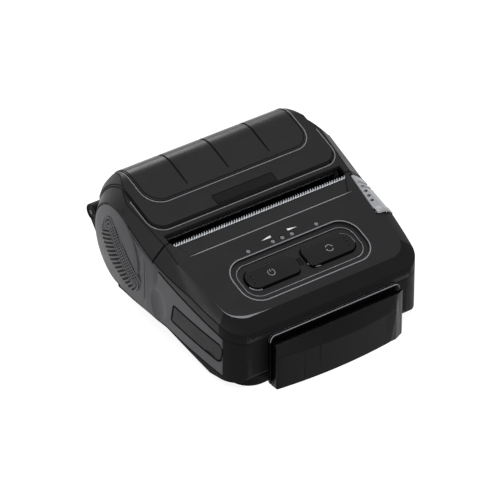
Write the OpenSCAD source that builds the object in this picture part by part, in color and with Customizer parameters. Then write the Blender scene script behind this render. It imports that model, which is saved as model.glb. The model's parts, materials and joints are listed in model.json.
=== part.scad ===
// Portable label printer for 80 mm paper, with a swipe card reader on its front.
// The origin is on the surface it stands on, under the middle of the tear edge.
// X runs along the tear edge, -Y is the front and +Z is up.

/* [Case] */
// Half width of the case at its front face
front_half_w = 44; // [43.6:0.2:45.6]
// Half width of the case at its middle, before its sides are rounded
mid_half_w = 49.8; // [49.6:0.1:51.6]
// Distance from the tear edge to the front face
front_reach = 46.5; // [46:0.5:52]
// Distance from the tear edge to the rear wall
rear_reach = 55; // [54.5:0.5:60]
// Height of the key panel's plane above the tear edge's middle
panel_z = 43.7; // [43:0.1:46]
// Slope of the key panel and of the top of the cover
panel_tilt = 17.9; // [16.5:0.1:19]
// Height of the case's underside above the surface it stands on
case_bottom = 4.5; // [4:0.1:5]
// Wall thickness of the mouldings
wall = 2; // [1.6:0.1:2.2]
// Depth of the seam line below the panel's plane
split_drop = 6.2; // [5.8:0.1:6.6]
// Gap left at each seam between mouldings
seam_gap = 0.3; // [0.2:0.05:0.5]

/* [Side panels] */
// Thickness of a side panel
panel_t = 1.4; // [1.2:0.1:1.6]
// Radius of the round grip area of a side panel
grip_r = 17; // [15:0.5:17]
// Distance of the grip's centre behind the tear edge
grip_y = 27; // [26:0.5:28]
// Height of the grip's centre
grip_z = 30.5; // [29:0.5:31]
// How far the grip swells out of the side panel
grip_bulge = 1.8; // [0.5:0.1:2.5]

/* [Paper] */
// Length of the tear edge
tear_len = 82; // [80:0.5:83]
// Length of the platen's rubber
platen_len = 80.4; // [79:0.2:80.4]
// Radius of the platen's rubber
platen_r = 4.5; // [4:0.1:4.6]
// Distance of the platen's axis behind the tear edge
platen_y = 5.6; // [5.5:0.1:6]
// Height of the platen's axis
platen_z = 33.5; // [33:0.1:34]
// Radius of the platen's shaft
shaft_r = 1.5; // [1.2:0.1:1.8]

/* [Cover] */
// Distance from the tear edge to the front edge of the cover
slot_w = 4.3; // [4.2:0.1:4.8]
// Height of the cover's raised field above the panel's plane
field_h = 1; // [0.6:0.1:1.2]
// Distance from the tear edge to the step in the cover
step_y = 7.2; // [7:0.1:9]
// Half width of the inset pad
pad_half_w = 38.5; // [36:0.5:39]
// Distance from the tear edge to the front of the inset pad
pad_y = 17.3; // [16.5:0.1:20]
// Radius of the hinge barrel
hinge_r = 3.4; // [3:0.1:3.6]
// Height of the hinge axis
hinge_z = 28.4; // [27.5:0.1:29]
// Half length of the hinge barrel
hinge_half_w = 42.4; // [40:0.2:43]
// Radius of the hinge pin
pin_r = 1; // [0.8:0.1:1.2]
// Radial clearance of a turning pin or shaft
run_gap = 0.05; // [0.03:0.01:0.08]

/* [Keys] */
// Length of a key
key_len = 22.6; // [20:0.2:24]
// Depth of a key along the slope
key_depth = 9.2; // [8:0.1:10]
// Distance of a key's middle from the centre line
key_x = 13.7; // [13.4:0.1:15]
// Distance from the tear edge to the keys' middle
key_y = 27.2; // [26:0.1:28]
// How far a key travels when pressed
key_travel = 0.8; // [0.4:0.1:1]
// Clearance round a key
key_gap = 0.35; // [0.3:0.05:0.5]
// Depth of the recess that the keys stand in
recess_d = 0.8; // [0.4:0.1:1]
// Half length of that recess
recess_half_w = 29.7; // [28:0.1:31]

/* [Card reader] */
// Width of the card reader's outer block
reader_w = 61; // [56:0.5:62]
// Height of the card reader's outer block
reader_h = 22.2; // [20:0.1:23]
// Depth of the card reader's outer block, front to rear
reader_t = 4.4; // [4:0.1:6]
// Width of the slot that a card is swiped through
swipe_gap = 1.4; // [1.2:0.1:1.8]
// Thickness of the card reader's back plate
plate_t = 1.4; // [1.2:0.1:2]

/* [Battery] */
// Length of the battery pack
battery_len = 72; // [66:1:74]
// Depth of the battery pack, front to rear
battery_depth = 30; // [26:0.5:30]
// Height of the battery pack
battery_h = 14.2; // [12:0.1:14.2]

/* [Drive] */
// Tooth size of the gears, pitch diameter over tooth count
gear_module = 0.5; // [0.45:0.01:0.5]
// Teeth on the platen gear
platen_teeth = 22; // [20:1:22]
// Teeth on the idler gear
idler_teeth = 30; // [28:1:30]
// Teeth on the motor pinion
pinion_teeth = 12; // [11:1:13]
// Radius of the motor's can
motor_r = 5.5; // [4.8:0.1:5.5]
// Length of the motor's can
motor_len = 16; // [12:0.5:20]

/* [Hidden] */
$fn = 64;
bite = 0.02;
part_gap = 0.3;
front_y = -front_reach;
front_round = 10;
rear_round = 14;
lip_round = 7;
crest_round = 9;
rear_split_z = 31;
underside_round = 14;
shoulder_angle = 41;
crease_x = 44;
crease_taper = 5;
rear_crease_taper = 4;
tuck_z = 12.2;
tuck_y = -8;
front_fall = 11;
drum_r = grip_r + 0.4;
drum_slope = 1.1;
bow_y = 7;
bow_drop = mid_half_w - front_half_w;
bow_r = (pow(front_reach + bow_y, 2) + pow(bow_drop, 2)) / (2 * bow_drop);
bow_x = mid_half_w - bow_r;
arc_y0 = front_y + 9;
arc_y1 = rear_reach - 14;
vertex_y = (side_x(arc_y0, 0) - side_x(arc_y1, 0)) / (side_slope(arc_y0) - side_slope(arc_y1));
plan_pts = [
    [-side_x(arc_y0, front_y), front_y], [side_x(arc_y0, front_y), front_y],
    [side_x(arc_y0, vertex_y), vertex_y], [side_x(arc_y1, rear_reach), rear_reach],
    [-side_x(arc_y1, rear_reach), rear_reach], [-side_x(arc_y0, vertex_y), vertex_y]
];
plan_rs = [front_round, front_round, 0.3, rear_round, rear_round, 0.3];
seam_y = 0.4;
back_wall = panel_t + 1.2;
floor_z = case_bottom + back_wall;
crest_y = 38.3;
side_pts = [
    [front_y, case_bottom], [rear_reach, case_bottom], [rear_reach, rear_split_z + 2.4],
    [crest_y, panel_z + crest_y * tan(panel_tilt)],
    [front_y, panel_z + front_y * tan(panel_tilt)]
];
side_rs = [3, underside_round, 5, crest_round, lip_round];
panel_y0 = front_y + front_round - 3;
knuckle_x = 30;
bay_wall_t = 1.2;
board_z = 0.3 + battery_h + 0.7;
battery_gap = 0.3;
battery_y = front_y + back_wall + 1.3 + battery_depth / 2;
base_half_w = 39.8;
base_front = front_y + 1.5;
base_rear = 43;
screw_spots = [[-34, 10], [34, 10], [-31, 39.5], [31, 39.5]];
screw_r = 1.2;
screw_top = floor_z + 0.8;
cap_len = 28;
cap_h = 7.6;
cap_tilt = 10.8;
cap_mid = [-25.5, 18.7];
cap_t = 1.1;
jack_y = -18.5;
usb_y = -32;
led_x = [-16.1, -4.5, 0, 4.5, 16.1];
led_y = -15.3;
led_r = 0.85;
stem_end = wall + 1.7;
switch_top = stem_end + key_travel + 0.6;
board_top = switch_top + 1.6;
board_t = 1.2;
jack_z = board_z + board_t + 4.2;
usb_z = board_z + board_t + 1.9;
liner_t = 1.1;
liner_half = 41;
bay_r = (rear_reach - 19.6) / 2;
bay_y = rear_reach - 10.1 - bay_r;
bay_z = floor_z + bay_r + 3.3;
cheek_x = 41.8;
cheek_t = 0.8;
frame_y0 = -9;
frame_top = 37.4;
foot_x = 38.8;
foot_z = 9.8;
shelf_z = 20;
pivot_y = -2.6;
pivot_z = 24;
pivot_r = 0.8;
head_t = 0.8;
sink_t = 1.4;
head_y = platen_y - platen_r - part_gap - head_t;
tear_t = 0.6;
tear_seat_y = -1;
gear_x = -44.2;
gear_w = 1.6;
lift_dir = unit([platen_z - hinge_z, rear_reach - platen_y]);
lift_angle = atan2(lift_dir[1], lift_dir[0]);
mesh_gap = 0.12;
idler_pin_r = 1.2;
idler_dist = gear_module * (platen_teeth + idler_teeth) / 2 + mesh_gap;
idler_yz = [platen_y, platen_z] - lift_dir * idler_dist;
pinion_dist = gear_module * (pinion_teeth + idler_teeth) / 2 + mesh_gap;
pinion_angle = 215;
motor_yz = idler_yz + pinion_dist * [cos(pinion_angle), sin(pinion_angle)];
motor_shaft_r = 0.8;
idler_turn = lift_angle + 180 / idler_teeth;
idler_step = 360 / idler_teeth;
tooth_off = (pinion_angle - idler_turn)
    - idler_step * round((pinion_angle - idler_turn) / idler_step);
pinion_turn = pinion_angle + 180 + tooth_off * idler_teeth / pinion_teeth
    + 180 / pinion_teeth;
bush_r = 2.6;
arm_x = 40.5;
arm_t = 1;
pad_proud = 0.5;
pad_seat = 0.8;
pad_rear_z = 47;
badge_len = 28.4;
badge_depth = 4.4;
badge_y = 10.2;
badge_t = 0.6;
badge_seat = field_h * cos(panel_tilt) - badge_t;
lever_len = 18;
lever_y1 = -1.6;
lever_travel = 2.5;
lever_t = 1.5;
hook_yz = [-6, 27];
hook_pin_r = 1.2;
hook_x = cheek_x + cheek_t + 0.2;
hook_t = 1;
nose_half = 5;
latch_half = 8;
latch_y0 = battery_y + battery_depth / 2 + 0.8;
latch_travel = 2.4;
reader_x = 1.8;
swipe_z = 11;
swipe_travel = 0.4;
block_rear = front_y - plate_t - swipe_gap;
reader_reach = reader_t - block_rear;
floor_h = 2.6;

// Height of the panel's plane at a distance y behind the tear edge
function rise(y) = panel_z + y * tan(panel_tilt);
// Height of the seam between the upper and lower mouldings
function seam_z(y) = rise(y) - split_drop / cos(panel_tilt);
// Half width of the case at y, with its bowed sides
function half_w(y) = bow_x + sqrt(pow(bow_r, 2) - pow(y - bow_y, 2));
// How fast a side moves inwards at y, per mm to the rear
function side_slope(y) = (y - bow_y) / sqrt(pow(bow_r, 2) - pow(y - bow_y, 2));
// Straight line along the side at y0, seen from above, at y
function side_x(y0, y) = half_w(y0) - bite - side_slope(y0) * (y - y0);
function unit(v) = v / norm(v);
// Teeth of a gear as a closed outline, with room for running
function gear_outline(teeth, m, turn) = [
    for (i = [0 : teeth - 1])
        for (k = [[-0.30, -1.15], [-0.19, 0.85], [0.19, 0.85], [0.30, -1.15]])
            let (a = turn + 360 * (i + k[0]) / teeth, r = m * (teeth / 2 + k[1]))
                r * [cos(a), sin(a)]
];

// Extrudes a (y, z) outline along X, centred
module along_x(len) {
    rotate([90, 0, 90]) linear_extrude(len, center = true) children();
}

// Extrudes an (x, z) outline along Y, from y0 to y1
module along_y(y0, y1) {
    translate([0, y1, 0]) rotate([90, 0, 0]) linear_extrude(y1 - y0) children();
}

// Convex outline with round corners, moved inwards by w
module outline(pts, rs, w = 0) {
    n = len(pts);
    corner = [for (i = [0 : n - 1])
        let (
            c = pts[i],
            u = unit(pts[(i + n - 1) % n] - c),
            v = unit(pts[(i + 1) % n] - c),
            angle = acos(u * v),
            c2 = c + (u + v) * w / sin(angle),
            r = max(rs[i] - w, 0.3),
            t = r / tan(angle / 2)
        )
        [c2 + u * t, c2 + v * t, c2 + unit(u + v) * r / sin(angle / 2), r]
    ];
    polygon([for (k = corner) for (j = [0, 1]) k[j] + unit(k[2] - k[j]) * bite]);
    for (k = corner) translate(k[2]) circle(k[3]);
}

// Case seen from above, with its bowed sides, moved inwards by w
module plan(w = 0) {
    intersection() {
        outline(plan_pts, plan_rs, w);
        translate([bow_x, bow_y]) circle(bow_r - w, $fn = 360);
        translate([-bow_x, bow_y]) circle(bow_r - w, $fn = 360);
    }
}

// Places children on the key panel's plane, their Z square to it
module on_panel(x, y) {
    translate([x, y, rise(y)]) rotate([panel_tilt, 0, 0]) children();
}

// Rounded block standing on z = 0
module round_block(size, r) {
    linear_extrude(size[2]) outline([
        [-size[0] / 2, -size[1] / 2], [size[0] / 2, -size[1] / 2],
        [size[0] / 2, size[1] / 2], [-size[0] / 2, size[1] / 2]
    ], [r, r, r, r]);
}

module mirror_x() {
    children();
    mirror([1, 0, 0]) children();
}

// Everything under the two sloping shoulders, moved inwards by w
module under_shoulders(w) {
    shoulder_side(w, crease_taper);
    shoulder_side(w, -rear_crease_taper);
}

module shoulder_side(w, taper) {
    reach = 120;
    slope = tan(shoulder_angle);
    edge = -w / sin(shoulder_angle);
    intersection_for(s = [0, 1]) mirror([s, 0, 0])
        translate([crease_x, 0, panel_z])
        rotate([panel_tilt, 0, 0]) rotate([0, 0, -taper])
        along_y(-reach, reach) polygon([
            [-2 * reach, -reach], [-2 * reach, (2 * reach + edge) * slope],
            [edge + reach / slope, -reach]
        ]);
}

// Everything above the slanting lower edges of the case, moved inwards by w
module above_tuck(w) {
    reach = 120;
    for (part = [[0, tuck_y, reach], [front_fall, -reach, tuck_y + 0.5]]) intersection() {
        translate([-reach, part[1], -reach]) cube([2 * reach, part[2] - part[1], 2 * reach]);
        intersection_for(s = [0, 1]) mirror([s, 0, 0])
            translate([half_w(tuck_y), tuck_y, tuck_z + w / cos(45)])
            rotate([part[0], 0, 0])
            along_y(-reach, reach)
            polygon([[-reach, reach], [-reach, -reach], [reach, reach]]);
    }
}

// Places children at the middle of the grip on the +X side, their Z pointing outwards
module at_grip(depth = 0) {
    translate([half_w(grip_y), grip_y, grip_z]) rotate([0, 0, atan(side_slope(grip_y))])
        rotate([0, 90, 0]) translate([0, 0, -depth]) children();
}

// Everything inside the two coned ends of the paper drum, moved inwards by w
module inside_drum_ends(w) {
    depth = 30;
    r = drum_r - w * sqrt(1 + pow(drum_slope, 2));
    intersection_for(s = [0, 1]) mirror([s, 0, 0]) {
        along_x(240) polygon([
            [-90, -5], [grip_y - 1, -5], [grip_y, grip_z],
            [grip_y - 70 * sin(panel_tilt), grip_z + 70 * cos(panel_tilt)], [-90, 97]
        ]);
        at_grip(depth) cylinder(
            r1 = r + drum_slope * depth, r2 = r - 2 * drum_slope, h = depth + 2
        );
        translate([-120, -90, -5]) cube([120 + half_w(grip_y) - depth + 8, 180, 120]);
    }
}

// Outer form of the closed case, moved inwards by w
module body_form(w = 0) {
    intersection() {
        translate([0, 0, -5]) linear_extrude(80) plan(w);
        along_x(140) outline(side_pts, side_rs, w);
        under_shoulders(w);
        above_tuck(w);
        inside_drum_ends(w);
    }
}

// Side view of the space that belongs to the cover
module cover_zone(gap = 0) {
    y0 = seam_y + gap;
    difference() {
        polygon([
            [y0, seam_z(y0) + gap], [grip_y, seam_z(grip_y) + gap],
            [grip_y, rear_split_z + gap], [90, rear_split_z + gap], [90, 90], [y0, 90]
        ]);
        translate([grip_y, grip_z]) circle(grip_r + gap);
    }
}

// Side view of the space that belongs to the top case
module top_zone() {
    polygon([[-90, seam_z(-90)], [seam_y, seam_z(seam_y)], [seam_y, 90], [-90, 90]]);
}

// Skin of the case between two depths below its outer face
module skin(depth_0, depth_1) {
    translate([0, 0, -5]) linear_extrude(80) difference() {
        plan(depth_0);
        plan(depth_1);
    }
}

// Side panel seen from the side, from its front end to the grip's centre
module side_panel_outline() {
    polygon([
        [panel_y0, tuck_z + 0.4 + (panel_y0 - tuck_y) * tan(front_fall)],
        [tuck_y, tuck_z + 0.4], [grip_y - 2.5, tuck_z + 0.4],
        [grip_y - 2, grip_z - grip_r + 1], [grip_y - 2, seam_z(grip_y) - 4],
        [grip_y, seam_z(grip_y) - seam_gap],
        [panel_y0, seam_z(panel_y0) - seam_gap]
    ]);
    translate([grip_y, grip_z]) circle(grip_r);
}

// Side panel on the -X side
module side_panel() {
    swell_r = (pow(grip_r, 2) + pow(grip_bulge, 2)) / (2 * grip_bulge);
    intersection() {
        skin(0, panel_t);
        translate([-50, 0, 0]) along_x(40) side_panel_outline();
    }
    mirror([1, 0, 0]) at_grip(1) intersection() {
        cylinder(r = grip_r - 0.1, h = 6);
        translate([0, 0, 1 + grip_bulge - swell_r]) sphere(swell_r, $fn = 240);
    }
}

// Seat in the case for a side panel
module panel_seat() {
    intersection() {
        skin(-1, panel_t);
        translate([-55, 0, 0]) along_x(50) {
            side_panel_outline();
            polygon([
                [panel_y0, seam_z(panel_y0) - 4], [grip_y, seam_z(grip_y) - 4],
                [grip_y, seam_z(grip_y) + 3], [panel_y0, seam_z(panel_y0) + 3]
            ]);
        }
    }
}

module lower_case() {
    color("#1c1c1e") difference() {
        union() {
            difference() {
                intersection() {
                    body_form();
                    along_x(140) difference() {
                        translate([-90, -10]) square([180, 120]);
                        cover_zone();
                        top_zone();
                    }
                }
                body_form(back_wall);
            }
            battery_walls();
            for (p = screw_spots) translate([p[0], p[1], floor_z - 1])
                cylinder(r = 3, h = screw_top + 1.2 - floor_z);
            case_knuckles();
        }
        mirror_x() panel_seat();
        battery_void();
        hinge_scoop(-knuckle_x, knuckle_x);
        port_openings();
        cap_pocket();
        lever_window();
        swipe_window();
        pin_bore();
        for (p = screw_spots) translate([p[0], p[1], 0])
            cylinder(r = screw_r + 0.05, h = screw_top + 0.3);
    }
}

// Round hollow that clears the cover's knuckle
module hinge_scoop(x0, x1) {
    translate([x0, rear_reach, hinge_z]) rotate([0, 90, 0])
        cylinder(r = hinge_r + part_gap, h = x1 - x0);
}

// Fixed knuckles at the two ends of the hinge barrel
module case_knuckles() {
    mirror_x() {
        translate([knuckle_x, rear_reach, hinge_z]) rotate([0, 90, 0])
            cylinder(r = hinge_r, h = hinge_half_w - knuckle_x);
        translate([(knuckle_x + hinge_half_w) / 2, rear_reach, hinge_z])
            along_x(hinge_half_w - knuckle_x)
            polygon([[-4, -9], [hinge_r - 0.1, 0], [-4, 0]]);
    }
}

// Bore for the hinge pin through all knuckles
module pin_bore() {
    translate([-hinge_half_w - 1, rear_reach, hinge_z]) rotate([0, 90, 0])
        cylinder(r = pin_r + run_gap, h = 2 * hinge_half_w + 2);
}

// Walls round the battery inside the lower case, the board's seat
module battery_walls() {
    half = battery_len / 2 + battery_gap;
    rear = battery_y + battery_depth / 2 + battery_gap;
    h = board_z - floor_z + 0.5;
    intersection() {
        body_form(1);
        translate([0, 0, floor_z - 0.5]) {
            mirror_x() translate([half, front_y, 0]) cube([bay_wall_t, rear - front_y, h]);
            translate([-half - bay_wall_t, rear, 0])
                cube([2 * (half + bay_wall_t), bay_wall_t, h]);
        }
    }
}

// Space for the battery pack, open downwards
module battery_void() {
    translate([0, battery_y, -1]) round_block([
        battery_len + 2 * battery_gap, battery_depth + 2 * battery_gap, board_z + 1
    ], 2);
}

// Tray under the case that the printer stands on
module base_plate() {
    depth = base_rear - base_front;
    rim = 2.4;
    color("#151516") difference() {
        translate([0, (base_front + base_rear) / 2, 0]) difference() {
            round_block([2 * base_half_w, depth, case_bottom], 9);
            translate([0, 0, 2.2])
                round_block([2 * (base_half_w - rim), depth - 2 * rim, 20], 9 - rim);
            for (p = [1, -1]) translate([0, p * (depth / 2 + 20.5), -1])
                rotate([45, 0, 0]) cube([120, 30, 30], center = true);
        }
        battery_void();
        latch_slot();
        for (p = screw_spots) translate([p[0], p[1], -1]) {
            cylinder(r = screw_r + 0.1, h = 10);
            cylinder(r = 2.4, h = 2.2);
        }
    }
    color("#151516") for (p = screw_spots) translate([p[0], p[1], 2.1]) difference() {
        cylinder(r = 3.2, h = case_bottom - 2.1);
        translate([0, 0, -1]) cylinder(r = screw_r + 0.1, h = 10);
    }
}

module case_screws() {
    color("#8a8a8e") for (p = screw_spots) translate([p[0], p[1], 0.1]) difference() {
        union() {
            cylinder(r = 2.3, h = 1.1);
            cylinder(r = screw_r, h = screw_top - 0.1);
        }
        translate([0, 0, -1]) cylinder(r = 0.9, h = 1.7, $fn = 6);
    }
}

module left_side_panel() {
    color("#5d5e61") difference() {
        side_panel();
        cap_pocket();
        // Finger scoop behind the cap
        translate([-half_w(-3) - 11.3, -3, 16.4]) cylinder(r = 12, h = 8.7);
        // Upright groove in front of the grip
        translate([-half_w(6.3) - 3, 6, 17.8]) cube([3.4, 0.6, 19.9]);
    }
}

module right_side_panel() {
    color("#5d5e61") difference() {
        mirror([1, 0, 0]) side_panel();
        lever_window();
        translate([half_w(6.3) - 0.4, 6, 17.8]) cube([3.4, 0.6, 19.9]);
    }
}

// Rubber cap over the sockets, seen from the side
module cap_outline(grow = 0) {
    translate(cap_mid) rotate(cap_tilt) outline([
        [-cap_len / 2, -cap_h / 2], [cap_len / 2, -cap_h / 2],
        [cap_len / 2, cap_h / 2], [-cap_len / 2, cap_h / 2]
    ], [2.5, 0.8, 0.8, 2.5], -grow);
}

module cap_pocket() {
    intersection() {
        skin(-1, panel_t + 0.5);
        translate([-50, 0, 0]) along_x(40) cap_outline(part_gap);
    }
}

module port_cap() {
    color("#2b2b2d") intersection() {
        skin(0, cap_t);
        translate([-50, 0, 0]) along_x(40) difference() {
            cap_outline();
            // Finger notch in its lower edge
            translate(cap_mid) rotate(cap_tilt) translate([-8.5, -cap_h / 2 - 5.2])
                circle(6);
        }
    }
}

// Openings in the left side for the two sockets
module port_openings() {
    translate([-70, jack_y, jack_z]) rotate([0, 90, 0]) cylinder(r = 3.1, h = 30);
    translate([-70, usb_y - 4, usb_z - 2]) cube([30, 8, 4]);
}

module dc_jack() {
    x0 = -half_w(jack_y) + back_wall + 0.6;
    color("#111111") difference() {
        translate([x0, jack_y - 4.5, jack_z - 4.2]) cube([12, 9, 8.4]);
        translate([x0 - 1, jack_y, jack_z]) rotate([0, 90, 0]) cylinder(r = 2.75, h = 10);
    }
    color("silver") translate([x0 + 0.5, jack_y, jack_z]) rotate([0, 90, 0])
        cylinder(r = 0.9, h = 9);
}

module usb_socket() {
    x0 = -half_w(usb_y) + back_wall + 0.5;
    color("silver") difference() {
        translate([x0, usb_y - 3.9, usb_z - 1.9]) cube([9, 7.8, 3.8]);
        translate([x0 - 1, usb_y - 3.5, usb_z - 1.5]) cube([9.5, 7, 3]);
    }
}

module top_case() {
    color("#2a2a2c") difference() {
        union() {
            difference() {
                intersection() {
                    body_form();
                    along_x(140) top_zone();
                }
                body_form(wall);
            }
            // Posts that carry the key board
            for (x = [-30.5, 30.5]) for (y = [-16.5, -30]) on_panel(x, y)
                translate([0, 0, -board_top]) cylinder(r = 1.7, h = board_top - 1);
        }
        translate([-tear_len / 2 - 0.3, tear_seat_y, 20]) cube([tear_len + 0.6, 40, 60]);
        on_panel(0, -key_y - 0.1) translate([0, 0, -recess_d])
            round_block([2 * recess_half_w, 20.8, 10], 8);
        for (s = [-1, 1]) on_panel(s * key_x, -key_y) translate([0, 0, -5])
            key_shape(s, key_gap, 20);
        for (x = led_x) on_panel(x, led_y) translate([0, 0, -5])
            cylinder(r = led_r + 0.05, h = 20);
        lever_window();
    }
}

// Key outline: its outer end is rounder than its inner end
module key_shape(s, grow, h) {
    outer_r = key_depth / 2 - 0.4;
    inner_r = 2;
    left = s < 0 ? outer_r : inner_r;
    right = s < 0 ? inner_r : outer_r;
    linear_extrude(h) outline(
        [for (p = [[-1, -1], [1, -1], [1, 1], [-1, 1]])
            [p[0] * key_len / 2, p[1] * key_depth / 2]],
        [left, right, right, left], -grow
    );
}

// Key with its flange under the panel and its stem over the switch
module key(s) {
    on_panel(s * key_x, -key_y) {
        translate([0, 0, -wall - 0.4]) key_shape(s, 0, wall + 0.8);
        translate([0, 0, -wall - 1.1]) key_shape(s, 0.9, 0.8);
        translate([0, 0, -stem_end]) cylinder(r = 1.6, h = 1);
    }
}

module power_button() {
    color("#1f1f21") key(-1);
}

module feed_button() {
    color("#1f1f21") key(1);
}

module tact_switches() {
    color("#8a8a8e") for (s = [-1, 1]) on_panel(s * key_x, -key_y) {
        translate([-3, -3, -board_top]) cube([6, 6, 1.6]);
        translate([0, 0, -switch_top - 0.1]) cylinder(r = 1.2, h = 0.4);
    }
}

module key_board() {
    color("#1d5b38") on_panel(0, -23.4) translate([-33, -9.6, -board_top - board_t])
        cube([66, 19.2, board_t]);
}

module light_pipes() {
    color("#d8dadc") for (x = led_x) on_panel(x, led_y)
        translate([0, 0, -wall - 2]) cylinder(r = led_r, h = wall + 2 - 0.1);
}

module status_leds() {
    color("#e8e6c8") for (x = led_x) on_panel(x, led_y)
        translate([-0.8, -0.5, -board_top]) cube([1.6, 1, board_top - wall - 2.2]);
}

// Trough for the paper roll
module bay_liner() {
    color("#2d2d30") {
        along_x(2 * liner_half) intersection() {
            difference() {
                translate([bay_y, bay_z]) circle(bay_r + liner_t);
                translate([bay_y, bay_z]) circle(bay_r);
            }
            square([70, bay_z]);
        }
        for (s = [-1, 1]) translate([s * (liner_half - liner_t / 2), 0, 0])
            along_x(liner_t) intersection() {
                translate([bay_y, bay_z]) circle(bay_r + liner_t);
                square([70, bay_z]);
            }
        // Ribs that carry the trough
        for (x = [-28, 28]) translate([x - 1, bay_y - 4, floor_z + 0.05])
            cube([2, 8, bay_z - bay_r - floor_z - 0.5]);
    }
}

// Frame of the print mechanism: two cheeks joined by a wall and a shelf
module mech_frame() {
    color("#8d9094") difference() {
        union() {
            translate([-cheek_x - cheek_t, frame_y0, shelf_z])
                cube([2 * (cheek_x + cheek_t), 1.2, frame_top - shelf_z]);
            translate([-cheek_x, frame_y0, shelf_z]) cube([2 * cheek_x, 16.4, 1.2]);
            mirror_x() {
                translate([foot_x, 2, foot_z]) cube([cheek_x + cheek_t - foot_x, 7.5, 0.8]);
                translate([foot_x, 2, floor_z + 0.03]) cube([1.2, 7.5, foot_z - floor_z + 0.7]);
            }
            mirror_x() translate([cheek_x + cheek_t / 2, 0, 0]) along_x(cheek_t) {
                translate([frame_y0, foot_z]) square([18.5, platen_z - foot_z]);
                translate([frame_y0, platen_z - 1])
                    square([platen_y - bush_r - 0.4 - frame_y0, frame_top - platen_z + 1]);
            }
        }
        translate([-50, pivot_y, pivot_z]) rotate([0, 90, 0])
            cylinder(r = pivot_r, h = 100);
        translate([-50, platen_y, platen_z]) rotate([0, 90, 0])
            cylinder(r = bush_r + part_gap, h = 100);
        translate([-50, motor_yz[0], motor_yz[1]]) rotate([0, 90, 0])
            cylinder(r = motor_shaft_r + 0.5, h = 20);
        translate([-50, idler_yz[0], idler_yz[1]]) rotate([0, 90, 0])
            cylinder(r = idler_pin_r, h = 20);
        translate([30, hook_yz[0], hook_yz[1]]) rotate([0, 90, 0])
            cylinder(r = hook_pin_r, h = 20);
    }
}

module head_pivot() {
    color("silver") translate([-cheek_x - cheek_t, pivot_y, pivot_z]) rotate([0, 90, 0])
        cylinder(r = pivot_r, h = 2 * (cheek_x + cheek_t));
}

module print_head() {
    color("#d9d2c0") translate([-40, head_y, 26]) cube([80, head_t, 10.4]);
}

module head_sink() {
    color("#b7b9bc") difference() {
        union() {
            translate([-40.3, head_y - sink_t, 25.4]) cube([80.6, sink_t, 11]);
            for (x = [-34, 0, 34]) translate([x - 3, pivot_y - 1.6, 22.2])
                cube([6, head_y - sink_t - pivot_y + 1.8, 4]);
        }
        translate([-50, pivot_y, pivot_z]) rotate([0, 90, 0])
            cylinder(r = pivot_r + run_gap, h = 100);
    }
}

// Close-wound coil spring standing on z = 0
module coil(r, wire, h, turns) {
    pitch = (h - 2 * wire) / turns;
    rotate_extrude() for (i = [0 : turns]) translate([r, wire + i * pitch])
        circle(wire, $fn = 24);
}

module head_springs() {
    y0 = frame_y0 + 1.2;
    color("silver") for (x = [-26, 0, 26]) translate([x, y0, 31]) rotate([-90, 0, 0])
        coil(1.9, 0.4, head_y - sink_t - part_gap - y0, 8);
}

module paper_sensor() {
    color("#202022") translate([-4, 3, shelf_z + 1.2]) cube([8, 4, 6]);
    color("#6b1f1f") for (x = [-2, 2]) translate([x, 5, shelf_z + 7.1])
        cylinder(r = 1, h = 0.4);
}

// Toothed blade with a foot on top of the frame
module tear_bar() {
    top = rise(0) - 0.4;
    teeth = 70;
    pitch = tear_len / teeth;
    color("#c3c5c8") translate([-tear_len / 2, tear_seat_y, 0]) {
        translate([0, 0, frame_top]) cube([tear_len, tear_t, top - 1 - frame_top]);
        translate([0, frame_y0 - tear_seat_y, frame_top])
            cube([tear_len, tear_seat_y - frame_y0 + tear_t, 0.6]);
        along_y(0, tear_t) polygon(concat(
            [[0, top - 1.5]],
            [for (i = [0 : teeth - 1]) for (k = [0.02, 0.5, 0.98])
                [(i + k) * pitch, k == 0.5 ? top : top - 0.9]],
            [[tear_len, top - 1.5]]
        ));
    }
}

// Gear at the -X end
module gear_at(yz, teeth, turn, bore) {
    translate([gear_x, yz[0], yz[1]]) rotate([90, 0, 90]) linear_extrude(gear_w)
        difference() {
            polygon(gear_outline(teeth, gear_module, turn));
            circle(bore);
        }
}

module platen_gear() {
    color("#e4dfd2") gear_at([platen_y, platen_z], platen_teeth, lift_angle + 180, shaft_r);
}

module idler_gear() {
    color("#e4dfd2") gear_at(idler_yz, idler_teeth, idler_turn, idler_pin_r + run_gap);
}

module idler_stud() {
    color("silver") translate([gear_x - 0.3, idler_yz[0], idler_yz[1]]) rotate([0, 90, 0])
        cylinder(r = idler_pin_r, h = -gear_x + 0.3 - cheek_x);
}

module motor_pinion() {
    color("#c9a24a") gear_at(motor_yz, pinion_teeth, pinion_turn, motor_shaft_r);
    color("silver") translate([gear_x, motor_yz[0], motor_yz[1]]) rotate([0, 90, 0])
        cylinder(r = motor_shaft_r, h = -gear_x - cheek_x + 3);
}

module stepper_motor() {
    color("#a5a7aa") translate([-cheek_x, motor_yz[0], motor_yz[1]]) rotate([0, 90, 0])
        difference() {
            cylinder(r = motor_r, h = motor_len);
            translate([0, 0, -1]) cylinder(r = motor_shaft_r + run_gap, h = 4.3);
        }
}

module platen_roller() {
    color("#1b1b1b") translate([-platen_len / 2, platen_y, platen_z]) rotate([0, 90, 0])
        difference() {
            cylinder(r = platen_r, h = platen_len);
            translate([0, 0, -1]) cylinder(r = shaft_r, h = platen_len + 2);
        }
}

module platen_shaft() {
    color("silver") translate([gear_x, platen_y, platen_z]) rotate([0, 90, 0])
        cylinder(r = shaft_r, h = cheek_x + cheek_t + 1.3 - gear_x);
}

module platen_bushes() {
    color("#d9d4c4") for (x = [[-cheek_x - cheek_t, -arm_x], [arm_x, cheek_x + cheek_t + 1.2]])
        translate([x[0], platen_y, platen_z]) rotate([0, 90, 0]) difference() {
            cylinder(r = bush_r, h = x[1] - x[0]);
            translate([0, 0, -1]) cylinder(r = shaft_r + run_gap, h = 10);
        }
}

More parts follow.
